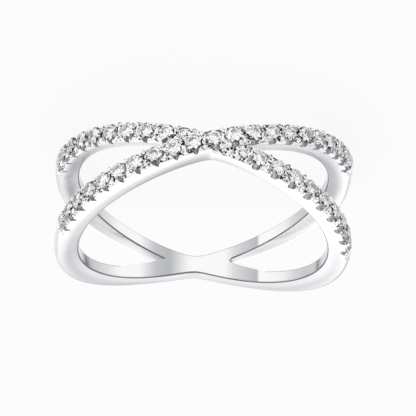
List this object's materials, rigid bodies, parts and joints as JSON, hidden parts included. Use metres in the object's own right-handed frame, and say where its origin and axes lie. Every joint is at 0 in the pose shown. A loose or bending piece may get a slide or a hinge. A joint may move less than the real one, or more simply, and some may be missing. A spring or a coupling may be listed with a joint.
{
  "type": "crossover ring",
  "caption": "Finger ring whose two slim strands cross at the front and back, with a row of small round stones set in each strand's front half.",
  "frame": {"origin": "on the finger's axis, in the plane that the ring rests on when it lies on its side", "axes": "+Z along the finger's axis and up; -Y towards the front crossing; the upper strand rises towards +X"},
  "size_m": [0.0208, 0.0208, 0.0074],
  "materials": {
    "white_metal": "mirror polished white metal",
    "clear_stone": "clear faceted brilliant"
  },
  "bodies": {
    "root": {"band": "white_metal", "over_stone_01": "clear_stone", "over_stone_02": "clear_stone", "over_stone_03": "clear_stone", "over_stone_04": "clear_stone", "over_stone_05": "clear_stone", "over_stone_06": "clear_stone", "over_stone_07": "clear_stone", "over_stone_08": "clear_stone", "over_stone_09": "clear_stone", "over_stone_10": "clear_stone", "over_stone_11": "clear_stone", "over_stone_12": "clear_stone", "over_stone_13": "clear_stone", "over_stone_14": "clear_stone", "over_stone_15": "clear_stone", "over_stone_16": "clear_stone", "over_stone_17": "clear_stone", "over_stone_18": "clear_stone", "over_stone_19": "clear_stone", "over_stone_20": "clear_stone", "over_stone_21": "clear_stone", "under_stone_01": "clear_stone", "under_stone_02": "clear_stone", "under_stone_03": "clear_stone", "under_stone_04": "clear_stone", "under_stone_05": "clear_stone", "under_stone_06": "clear_stone", "under_stone_07": "clear_stone", "under_stone_08": "clear_stone", "under_stone_09": "clear_stone", "under_stone_10": "clear_stone", "under_stone_11": "clear_stone", "under_stone_12": "clear_stone", "under_stone_13": "clear_stone", "under_stone_14": "clear_stone", "under_stone_15": "clear_stone", "under_stone_16": "clear_stone", "under_stone_17": "clear_stone", "under_stone_18": "clear_stone", "accent_stone_left": "clear_stone", "accent_stone_right": "clear_stone"}
  },
  "joints": []
}
